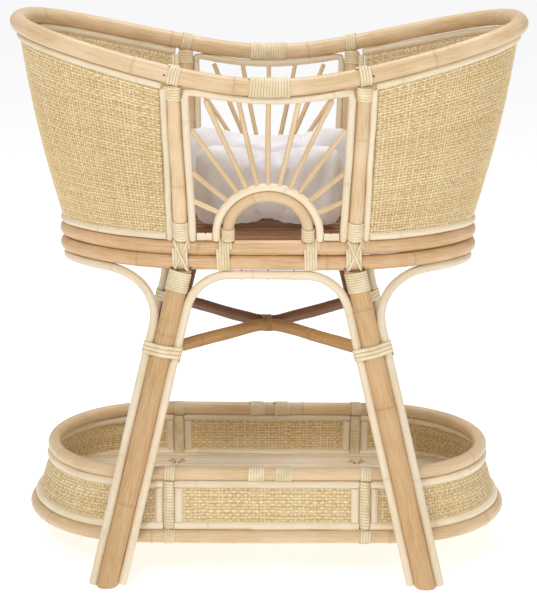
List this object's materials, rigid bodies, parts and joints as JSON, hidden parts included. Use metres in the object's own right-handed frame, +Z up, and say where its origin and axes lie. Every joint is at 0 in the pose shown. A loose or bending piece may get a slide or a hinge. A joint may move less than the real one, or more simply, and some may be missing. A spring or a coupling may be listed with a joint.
{
  "type": "bassinet on stand",
  "caption": "Oval rattan bassinet with a saddle-shaped rim, woven cane ends and sunburst sides, on four splayed legs over an oval storage basket, with two pillows.",
  "frame": {"origin": "centre of the footprint on the floor", "axes": "+Z up, +X along the length, -Y is the front"},
  "size_m": [0.9, 0.5286, 0.975],
  "materials": {
    "tan_rattan": "satin",
    "cream_rattan": "satin",
    "woven_cane": "satin",
    "binding_cane": "satin",
    "steel": "dull",
    "linen": "matte cotton"
  },
  "bodies": {
    "frame": {"top_rim": "tan_rattan", "rim_bindings": "binding_cane", "rim_edge_pole_left": "cream_rattan", "rim_edge_pole_right": "cream_rattan", "sunburst_frame_front": "cream_rattan", "sunburst_frame_back": "cream_rattan", "post_front_left": "tan_rattan", "post_front_right": "tan_rattan", "post_back_left": "tan_rattan", "post_back_right": "tan_rattan", "post_side_poles": "cream_rattan", "end_cane_left": "woven_cane", "end_cane_right": "woven_cane", "base_edge_pole_left": "cream_rattan", "base_edge_pole_right": "cream_rattan", "base_edge_pole_front": "cream_rattan", "base_edge_pole_back": "cream_rattan", "upper_hoop": "tan_rattan", "lower_hoop": "tan_rattan", "outer_arch_front": "cream_rattan", "outer_arch_back": "cream_rattan", "inner_arch_front": "tan_rattan", "inner_arch_back": "tan_rattan", "spokes_front": "cream_rattan", "spokes_back": "cream_rattan", "floor_bearers": "tan_rattan", "floor_slats": "cream_rattan", "post_bindings": "binding_cane", "hoop_bindings": "binding_cane", "frame_nails": "steel", "leg_front_left": "tan_rattan", "leg_front_right": "tan_rattan", "leg_back_left": "tan_rattan", "leg_back_right": "tan_rattan", "front_arch_pole": "cream_rattan", "back_arch_pole": "cream_rattan", "left_end_arch_pole": "cream_rattan", "right_end_arch_pole": "cream_rattan", "leg_top_bindings": "binding_cane", "leg_band_bindings": "binding_cane", "brace_front": "tan_rattan", "brace_back": "tan_rattan", "brace_binding": "binding_cane", "shelf_top_hoop": "tan_rattan", "shelf_bottom_hoop": "tan_rattan", "shelf_posts": "tan_rattan", "shelf_frame_front": "cream_rattan", "shelf_frame_back": "cream_rattan", "shelf_frame_left": "cream_rattan", "shelf_frame_right": "cream_rattan", "shelf_cane_front": "woven_cane", "shelf_cane_back": "woven_cane", "shelf_cane_left": "woven_cane", "shelf_cane_right": "woven_cane", "shelf_deck": "cream_rattan", "shelf_bearers": "tan_rattan", "shelf_bindings": "binding_cane", "shelf_screws": "steel"},
    "front_pillow_body": {"front_pillow": "linen"},
    "rear_pillow_body": {"rear_pillow": "linen"}
  },
  "joints": [
    {"name": "front_pillow_lift", "type": "slide", "parent": "frame", "child": "front_pillow_body", "axis": [0, 0, 1], "range_m": [0, 0.4]},
    {"name": "rear_pillow_lift", "type": "slide", "parent": "frame", "child": "rear_pillow_body", "axis": [0, 0, 1], "range_m": [0, 0.4]}
  ]
}
